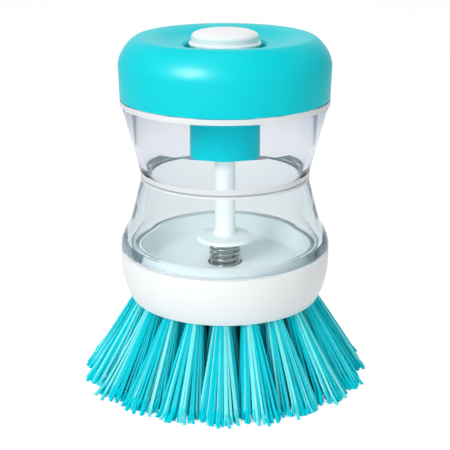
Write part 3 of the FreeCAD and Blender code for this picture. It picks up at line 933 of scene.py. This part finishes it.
    def ledge_outline(self) -> list[Point]:
        """Returns the outline of the line on the ledge at the foot."""
        low = self.ledge_z + self.line_gap
        high = low + self.line_depth
        outer = self.ledge_line + self.ledge_width
        return [(self.ledge_line, low), (outer, low), (outer, high), (self.ledge_line, high)]

    def build_lines(self) -> None:
        """Makes the whitish frosted lines at the neck, waist and foot, which carry painted highlights, and
        the grey weld seam at the waist, which carries painted shade.
        """
        waist = self.waist_radius
        seam = self.waist_z
        neck = self.line_outline((self.band_radius, self.cone_z + self.neck_line_rise),
                                 (self.band_radius, self.band_z))
        upper = self.line_outline((waist, seam + self.weld_clear),
                                  (waist + self.line_flare, seam + self.upper_line))
        # The grey weld ring carries the seam's joint line and the painted shade of its gap.
        weld = self.line_outline((waist, seam - self.weld_half), (waist, seam + self.weld_half))
        lower = self.line_outline((waist + self.line_flare / 3, seam - self.lower_line),
                                  (waist, seam - self.weld_clear))
        for name, outline, finish in (
                ("neck_line", neck, FROST_HIGHLIGHT_FINISH), ("seam_line_upper", upper, FROST_HIGHLIGHT_FINISH),
                ("seam_line_middle", weld, SEAM_SHADE_FINISH), ("seam_line_lower", lower, FROST_HIGHLIGHT_FINISH),
                ("ledge_line", self.ledge_outline(), FROST_HIGHLIGHT_FINISH)):
            fit(name, turned(outline, LARGE_TURN), finish, Body.BASE, None)

    def build(self) -> None:
        """Makes both shells and their lines."""
        lower = turned(self.lower_outline(), LARGE_TURN)
        fit("lower_shell", lower, LOWER_FINISH, Body.BASE, "lower_reservoir")
        ridge = thread_ridge(self.thread_base, self.thread_crest, self.thread_z)
        upper = joined(turned(self.upper_outline(), LARGE_TURN), ridge)
        fit("upper_shell", upper, UPPER_FINISH, Body.BASE, "upper_reservoir")
        self.build_lines()


@dataclass
class Plunger:
    """White rod with its flange, the valve cone and the steel return spring."""

    spring_low_z: float = 31.0
    spring_height: float = 8.35
    spring_radius: float = 4.55
    spring_wire: float = 1.0
    spring_turns: float = 4.75
    steps_per_turn: int = 48
    travel: float = 2.5
    rod_radius: float = 2.95
    rod_top_z: float = 96.65
    stem_z: float = 27.5
    stem_radius: float = 2.2
    stem_end_radius: float = 2.6
    stem_neck_z: float = 28.3
    guide_radius: float = 3.3
    guide_z: float = 38.25
    flange_z: float = 39.45
    flange_radius: float = 7.95
    flange_rim: float = 1.2
    flange_rise: float = 1.6
    nearly_round: float = 0.99

    def spring_path(self) -> np.ndarray:
        """Returns the spring wire's centre line, in metres."""
        count = int(self.spring_turns * self.steps_per_turn)
        angles = np.linspace(0.0, 2 * math.pi * self.spring_turns, count + 1)
        radius = self.spring_radius - self.spring_wire / 2
        climb = np.linspace(0.0, self.spring_height - self.spring_wire, count + 1)
        low = self.spring_low_z + self.spring_wire / 2
        return np.stack([radius * np.cos(angles), radius * np.sin(angles), low + climb], axis=1) * MM

    def rod_outline(self) -> list[Point]:
        """Returns the outline of the rod, from the valve's stem up to the button."""
        top_z = self.flange_z + self.flange_rim
        half = self.flange_rim / 2
        rim_round = half * self.nearly_round
        rim = (self.flange_radius - half, top_z)
        neck = (self.rod_radius, top_z + self.flange_rise)
        outline = rounded_outline([
            (0.0, self.stem_z), (self.stem_end_radius, self.stem_z), (self.stem_end_radius, self.stem_neck_z),
            (self.stem_radius, self.stem_neck_z), (self.stem_radius, self.guide_z),
            (self.guide_radius, self.guide_z, EDGE_CRISP), (self.guide_radius, self.flange_z),
            (self.flange_radius, self.flange_z, rim_round), (self.flange_radius, top_z, rim_round), rim])[:-1]
        outline += curve(rim, (self.rod_radius + self.flange_rise, top_z + self.flange_rise / 4),
                         (self.rod_radius, top_z), neck)[1:]
        end = rounded_outline([neck, (self.rod_radius, self.rod_top_z, EDGE_SOFT), (0.0, self.rod_top_z)])
        return outline + end[1:]

    def build(self) -> None:
        """Makes the rod and the spring."""
        rod = turned(self.rod_outline(), SMALL_TURN)
        fit("plunger_shaft", rod, ROD_FINISH, Body.PLUNGER, "plunger_rod")
        wire = tube(self.spring_path(), self.spring_wire / 2 * MM)
        spring = fit("spring_coil", wire, SPRING_FINISH, Body.BASE, "return_spring")
        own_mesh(spring)

    def dress(self, nodes: Nodes) -> None:
        """Finishes the frame node of the valve cone."""
        paint(nodes["valve_plug"], finished(SILICONE_FINISH))


@dataclass
class Base:
    """Floor cup, collar and brush block under the reservoir."""

    hub_z: float = 27.8
    hub_radius: float = 6.0
    seat_radius: float = 4.5
    seat_bore: float = 3.3
    seat_top_z: float = 29.0
    well_z: float = 30.9
    well_radius: float = 4.9
    ledge_z: float = 30.2
    flange_z: float = 33.43
    flange_radius: float = 27.9
    floor_z: float = 32.8
    floor_round: float = 3.0
    cup_outer: float = 24.5
    cup_inner: float = 22.6
    cup_rim: float = 24.0
    cup_rim_z: float = 39.0
    collar_z: float = 23.5
    collar_top_z: float = 37.5
    collar_bore: float = 26.3
    collar_seat: float = 27.87
    collar_radius: float = 29.8
    collar_band_z: float = 35.0
    bow_steps: int = 14
    foot_radius: float = 27.2
    foot_edge: float = 0.6

    def cup_outline(self) -> list[Point]:
        """Returns the outline of the floor cup."""
        return rounded_outline([
            (self.seat_radius, self.hub_z), (self.hub_radius, self.hub_z), (self.hub_radius, self.ledge_z),
            (self.flange_radius, self.ledge_z), (self.flange_radius, self.flange_z),
            (self.cup_outer, self.flange_z), (self.cup_outer, self.cup_rim_z, EDGE),
            (self.cup_rim, self.cup_rim_z, EDGE_CRISP), (self.cup_inner, self.floor_z, self.floor_round),
            (self.well_radius, self.floor_z, EDGE_CRISP), (self.well_radius, self.well_z),
            (self.seat_bore, self.well_z), (self.seat_bore, self.seat_top_z)])

    def collar_outline(self) -> list[Point]:
        """Returns the outline of the collar, with its bowed side and soft lower edge."""
        foot = (self.foot_radius, self.collar_z + self.foot_edge)
        under = (self.foot_radius - self.foot_edge, self.collar_z)
        inset = self.collar_radius - self.foot_radius
        drop = self.collar_band_z - foot[1]
        bow = (inset ** 2 + drop ** 2) / (2 * inset)
        turn = math.asin(drop / bow)
        reach = self.foot_edge / 2
        outline = curve(under, (under[0] + reach, under[1]),
                        (foot[0] - reach * math.sin(turn), foot[1] - reach * math.cos(turn)), foot, steps=6)
        for step in range(1, self.bow_steps + 1):
            angle = turn * (1 - step / self.bow_steps)
            outline.append((self.collar_radius - bow * (1 - math.cos(angle)),
                            self.collar_band_z - bow * math.sin(angle)))
        return outline + rounded_outline([
            (self.collar_radius, self.collar_band_z), (self.collar_radius, self.collar_top_z, EDGE_SOFT),
            (self.collar_seat, self.collar_top_z, EDGE_CRISP), (self.collar_seat, self.ledge_z),
            (self.collar_bore, self.ledge_z), (self.collar_bore, self.collar_z, EDGE_CRISP), under])[1:-1]

    def build(self) -> None:
        """Makes the floor cup and the collar."""
        fit("floor_dish", turned(self.cup_outline()), CUP_FINISH, Body.BASE, "floor_cup")
        collar = turned(self.collar_outline(), LARGE_TURN)
        fit("collar_ring", collar, WHITE_FINISH, Body.BASE, "base_collar")

    def dress(self, nodes: Nodes) -> None:
        """Finishes the frame nodes that are nearly hidden."""
        paint(nodes["brush_block"], finished(BLOCK_FINISH))
        paint(nodes["base_gasket"], finished(SILICONE_FINISH))
        paint(nodes["tuft_anchors"], finished(ANCHOR_FINISH))


@dataclass(frozen=True)
class TuftRing:
    """One ring of tufts, with its circles and the tufts' half sizes at the block and at the tips."""

    prefix: str
    count: int
    root_circle: float
    tip_circle: float
    root_radius: float
    tip_width: float
    tip_depth: float


OUTER_RING = TuftRing("outer_tuft", count=20, root_circle=23.6, tip_circle=34.6, root_radius=1.85,
                      tip_width=6.0, tip_depth=6.9)
MIDDLE_RING = TuftRing("middle_tuft", count=13, root_circle=17.0, tip_circle=23.5, root_radius=2.5,
                       tip_width=7.6, tip_depth=5.6)
INNER_RING = TuftRing("inner_tuft", count=6, root_circle=10.4, tip_circle=12.4, root_radius=2.5,
                      tip_width=7.4, tip_depth=6.2)


@dataclass
class Bristles:
    """Flared tufts of nearly straight nylon filaments, a few in each rib and a loose core inside."""

    rings: tuple[TuftRing, ...] = (OUTER_RING, MIDDLE_RING, INNER_RING)
    turn: float = -1.9
    block_z: float = 24.1
    root_depth: float = 2.0
    strand_radius: float = 0.37
    tip_swell: float = 1.4
    tip_square: float = 0.4
    ribs: int = 14
    rib_strands: int = 3
    rib_spread: float = 0.3
    rib_round: float = 0.1
    core_strands: int = 34
    core_reach: float = 0.8
    core_turn: float = 137.508
    turn_stray: float = 0.03
    reach_stray: float = 0.02
    trim: float = 0.4
    sway: float = 0.22
    bow: float = 0.5
    bow_rise: float = 0.2
    fray: float = 0.4
    fray_length: float = 3.0
    fray_range: Point = (0.5, 1.3)
    fray_start: float = 0.85
    fray_tone: float = -0.5
    pale_highlight_share: float = 0.27
    pale_highlight_tones: Point = (0.6, 1.0)
    plain_tones: Point = (0.0, 0.12)
    root_to_tip_tones: Point = (-0.06, 0.04)
    facet_way: tuple[float, float, float] = (0.3, 0.5, 0.81)
    sides: int = 6
    stations: int = 5
    seed: int = 7

    def __post_init__(self) -> None:
        """Starts the seeded random numbers, which every tuft draws from in turn."""
        self.random = np.random.default_rng(self.seed)

    def strand_spots(self) -> np.ndarray:
        """Returns the filaments' places across a tuft of radius 1, towards the side and outward."""
        pitch = 2 * math.pi / self.ribs
        offsets = np.linspace(-self.rib_spread, self.rib_spread, self.rib_strands)
        angles = (np.arange(self.ribs)[:, None] + offsets[None, :]).ravel() * pitch
        drop = np.tile((offsets / self.rib_spread) ** 2 * self.rib_round, self.ribs)
        number = np.arange(self.core_strands)
        core = self.core_reach * np.sqrt((number + 0.5) / self.core_strands)
        spiral = number * math.radians(self.core_turn) + self.random.uniform(0.0, 2 * math.pi)
        reach = np.concatenate([1.0 - drop, core])
        angles = np.concatenate([angles, spiral]) + self.random.normal(0.0, self.turn_stray, len(reach))
        reach = reach + self.random.normal(0.0, self.reach_stray, len(reach))
        return np.stack([reach * np.sin(angles), reach * np.cos(angles)], axis=1)

    def strand_paths(self, ring: TuftRing, angle: float) -> np.ndarray:
        """Lays the filaments of one tuft.

        Args:
            ring: Ring that the tuft is in.
            angle: Direction of the tuft from the axis, in radians.

        Returns:
            Points in millimetres, by filament and station.
        """
        outward = np.array((math.cos(angle), math.sin(angle), 0.0))
        sideways = np.array((-math.sin(angle), math.cos(angle), 0.0))
        level = (1.0, 1.0, 0.0)
        root = outward * ring.root_circle + np.array((0.0, 0.0, self.block_z))
        tip = outward * ring.tip_circle
        start = root - (tip - root) * self.root_depth / self.block_z
        spots = self.strand_spots()
        strands = len(spots)
        short = np.abs(self.random.normal(0.0, self.trim / 2, strands)).clip(0.0, self.trim)
        frayed = self.fray_length / self.block_z * self.random.uniform(*self.fray_range, (strands, 1))
        whole = np.linspace(0.0, 1.0, self.stations)[None, :] * (1.0 - frayed)
        steps = np.concatenate([whole, 1.0 - self.fray_start * frayed, np.ones((strands, 1))], axis=1)
        steps = steps * (1.0 - short / self.block_z)[:, None]
        corner = np.hypot(spots[:, 0], spots[:, 1]) / np.abs(spots).max(axis=1)
        square = 1.0 + (corner ** self.tip_square - 1.0)[:, None] * steps
        wide = ring.root_radius + (ring.tip_width - ring.root_radius) * steps - self.strand_radius
        deep = ring.root_radius + (ring.tip_depth - ring.root_radius) * steps - self.strand_radius
        path = start + (tip - start) * steps[:, :, None]
        path = path + (spots[:, :1] * wide * square)[:, :, None] * sideways
        path = path + (spots[:, 1:] * deep * square)[:, :, None] * outward
        lean = self.random.normal(0.0, self.sway, (strands, 1, 3)) * level
        bow = self.random.normal(0.0, self.bow, (strands, 1, 3)) * (1.0, 1.0, self.bow_rise)
        path = path + lean * steps[:, :, None] ** 2 + bow * (steps * (1.0 - steps))[:, :, None]
        path[:, -1] += self.random.normal(0.0, self.fray, (strands, 3)) * level
        return path

    def strand_shape(self, paths: np.ndarray) -> Shape:
        """Gives the filaments of one tuft their thickness, and trims them at the floor.

        Args:
            paths: Points in metres, by filament and station.

        Returns:
            Vertices in metres and faces of all the filaments.
        """
        stations = paths.shape[1]
        ways = unit(paths[:, -1] - paths[:, 0])
        across = unit(np.cross(ways, self.facet_way))
        circle = circles(across, np.cross(ways, across), self.sides)
        radii = np.full(stations, self.strand_radius * MM)
        radii[-2:] *= self.tip_swell
        rings = paths[:, :, None, :] + circle[:, None, :, :] * radii[None, :, None, None]
        rings[..., 2] = rings[..., 2].clip(0.0)
        faces = sleeve_faces(stations, self.sides)
        return joined(*((strand.reshape(-1, 3), faces) for strand in rings))

    def strand_tones(self, strands: int, stations: int) -> np.ndarray:
        """Picks a tone for each filament, darker in its frayed end; the pale share carries painted
        highlights.

        Args:
            strands: Filaments in the tuft.
            stations: Rings of vertices along each.

        Returns:
            Tones from 0 to 1, by vertex.
        """
        # Pale strands are partly random tone and partly painted highlight.
        pale = self.random.random(strands) < self.pale_highlight_share
        tones = np.where(pale, self.random.uniform(*self.pale_highlight_tones, strands),
                         self.random.uniform(*self.plain_tones, strands))
        lift = np.linspace(*self.root_to_tip_tones, stations)
        lift[self.stations:] = self.fray_tone
        by_ring = (tones[:, None] + lift[None, :]).clip(0.0, 1.0)
        return np.repeat(by_ring.ravel(), self.sides)

    def tuft(self, ring: TuftRing, index: int) -> None:
        """Makes one tuft of filaments.

        Args:
            ring: Ring that the tuft is in.
            index: Place in the ring, from 0.
        """
        angle = math.radians(self.turn - 90.0 + 360.0 * index / ring.count)
        paths = self.strand_paths(ring, angle) * MM
        node = "%s_%02d" % (ring.prefix, index + 1)
        shape = self.strand_shape(paths)
        piece = fit(node + "_strands", shape, BRISTLE_FINISH, Body.BASE, node)
        tones = self.strand_tones(*paths.shape[:2])
        attribute = piece.data.attributes.new("tone", "FLOAT", "POINT")
        attribute.data.foreach_set("value", tones.astype(np.float32))

    def build(self) -> None:
        """Makes every tuft and puts it in the place of its solid bundle."""
        for ring in self.rings:
            for index in range(ring.count):
                self.tuft(ring, index)


@dataclass(frozen=True)
class Lamp:
    """Soft square lamp that looks at the middle of the brush, and lights all or gives one piece a sheen."""

    name: str
    spot: tuple[float, float, float]
    size: float
    power: float
    sheen_on: str | None = None
    aim_z: float = 55.0

    def build(self) -> None:
        """Adds the lamp."""
        light = bpy.data.lights.new(self.name, "AREA")
        light.size = self.size * MM
        light.energy = self.power
        lamp = bpy.data.objects.new(self.name, light)
        lamp.location = Vector(self.spot) * MM
        aim = Vector((0.0, 0.0, self.aim_z * MM)) - lamp.location
        lamp.rotation_euler = aim.to_track_quat("-Z", "Y").to_euler()
        lamp.visible_camera = False
        lamp.visible_glossy = self.sheen_on is not None
        lamp.visible_diffuse = self.sheen_on is None
        if self.sheen_on is not None:
            takers = bpy.data.collections.new(self.name + "_takers")
            takers.objects.link(bpy.data.objects[self.sheen_on])
            lamp.light_linking.receiver_collection = takers
        bpy.context.scene.collection.objects.link(lamp)


KEY_SPOT = (-330.0, -420.0, 380.0)
LAMPS = (Lamp("key_lamp", KEY_SPOT, size=220.0, power=1.4),
         Lamp("sheen_lamp", KEY_SPOT, size=180.0, power=15.0, sheen_on="cap_shell"),
         Lamp("front_lamp", (-110.0, -520.0, 50.0), size=300.0, power=0.8),
         Lamp("right_lamp", (400.0, -360.0, 150.0), size=300.0, power=0.18),
         Lamp("top_lamp", (-60.0, -80.0, 560.0), size=260.0, power=0.72),
         Lamp("back_lamp", (120.0, 420.0, 380.0), size=360.0, power=0.4))


@dataclass
class Studio:
    """White studio: floor, side cards, soft lamps, bright world and the camera."""

    camera_distance: float = 328.0
    camera_height: float = 148.9
    camera_tilt: float = 72.22
    camera_near: float = 10.0
    field_of_view: float = 21.262
    floor_size: float = 4000.0
    floor_colour: Colour = (0.92, 0.92, 0.92)
    floor_roughness: float = 0.9
    floor_glow: float = 0.82
    glow_strength: float = 1.12
    shade_inner: float = 28.0
    shade_outer: float = 39.5
    world_light: float = 0.4
    card_colour: Colour = (0.45, 0.53, 0.58)
    card_distance: float = 250.0
    card_front: float = -150.0
    card_back: float = 420.0
    card_height: float = 260.0

    def floor(self) -> None:
        """Adds the pale floor, which glows towards the camera and keeps a soft shadow."""
        half = self.floor_size / 2 * MM
        corners = np.array([(-half, -half, 0.0), (half, -half, 0.0), (half, half, 0.0), (-half, half, 0.0)])
        plane = mesh_object("studio_floor", corners, [(0, 1, 2, 3)])
        material, tree, shader = new_material("studio_floor", Base_Color=rgba(self.floor_colour),
                                              Roughness=self.floor_roughness, Specular_IOR_Level=0.0)
        glow = tree.add("Emission", Strength=self.glow_strength)
        reach = tree.add("VectorMath", operation="LENGTH")
        tree.join(tree.place(), reach.inputs[0])
        clear = tree.spread(reach.outputs["Value"], From_Min=self.shade_inner * MM,
                            From_Max=self.shade_outer * MM, To_Max=self.floor_glow)
        share = tree.combine("MULTIPLY", tree.seen(), clear)
        mixed = tree.mix(share, shader.outputs["BSDF"], glow.outputs["Emission"])
        tree.join(mixed, tree.output.inputs["Surface"])
        paint(plane, material)

    def side_cards(self) -> None:
        """Adds a grey card on each side, which only the edges of the clear shells bend the view to."""
        shape = [(0.0, self.card_front, 0.0), (0.0, self.card_back, 0.0),
                 (0.0, self.card_back, self.card_height), (0.0, self.card_front, self.card_height)]
        material, tree, shader = new_material("studio_card")
        tree.tree.nodes.remove(shader)
        glow = tree.add("Emission", Color=rgba(self.card_colour), Strength=1.0)
        tree.join(glow.outputs["Emission"], tree.output.inputs["Surface"])
        for name, side in (("studio_card_left", -1.0), ("studio_card_right", 1.0)):
            card = mesh_object(name, np.array(shape) * MM, [(0, 1, 2, 3)])
            card.location.x = side * self.card_distance * MM
            card.visible_camera = False
            card.visible_diffuse = False
            card.visible_shadow = False
            paint(card, material)

    def world(self) -> None:
        """Sets a white world that lights the brush gently."""
        world = bpy.data.worlds.new("studio_world")
        world.use_nodes = True
        bpy.context.scene.world = world
        tree = NodeTree(world.node_tree, "OutputWorld")
        dim = tree.add("Background", Color=rgba(PURE_WHITE), Strength=self.world_light)
        bright = tree.add("Background", Color=rgba(PURE_WHITE), Strength=1.0)
        mixed = tree.mix(tree.seen(), dim.outputs["Background"], bright.outputs["Background"])
        tree.join(mixed, tree.output.inputs["Surface"])

    def camera(self) -> None:
        """Places the camera at the photograph's viewing angle."""
        data = bpy.data.cameras.new("photo_camera")
        data.angle = math.radians(self.field_of_view)
        data.clip_start = self.camera_near * MM
        camera = bpy.data.objects.new("photo_camera", data)
        camera.location = Vector((0.0, -self.camera_distance, self.camera_height)) * MM
        camera.rotation_euler = (math.radians(self.camera_tilt), 0.0, 0.0)
        bpy.context.scene.collection.objects.link(camera)
        bpy.context.scene.camera = camera

    def build(self) -> None:
        """Sets the whole studio."""
        self.floor()
        self.side_cards()
        self.world()
        for lamp in LAMPS:
            lamp.build()
        self.camera()
        bpy.context.scene.view_settings.view_transform = "Standard"


def main() -> None:
    """Builds the brush's looks round the frame, piece by piece."""
    logging.basicConfig(level=logging.INFO, format="%(name)s: %(message)s")
    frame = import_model()
    nodes = frame["nodes"]
    core = CapCore()
    plunger = Plunger()
    base = Base()
    for assembly in (Cap(), core, Button(), Reservoir(), plunger, base, Bristles()):
        assembly.build()
    for assembly in (core, plunger, base):
        assembly.dress(nodes)
    Studio().build()


if __name__ == "__main__":
    main()
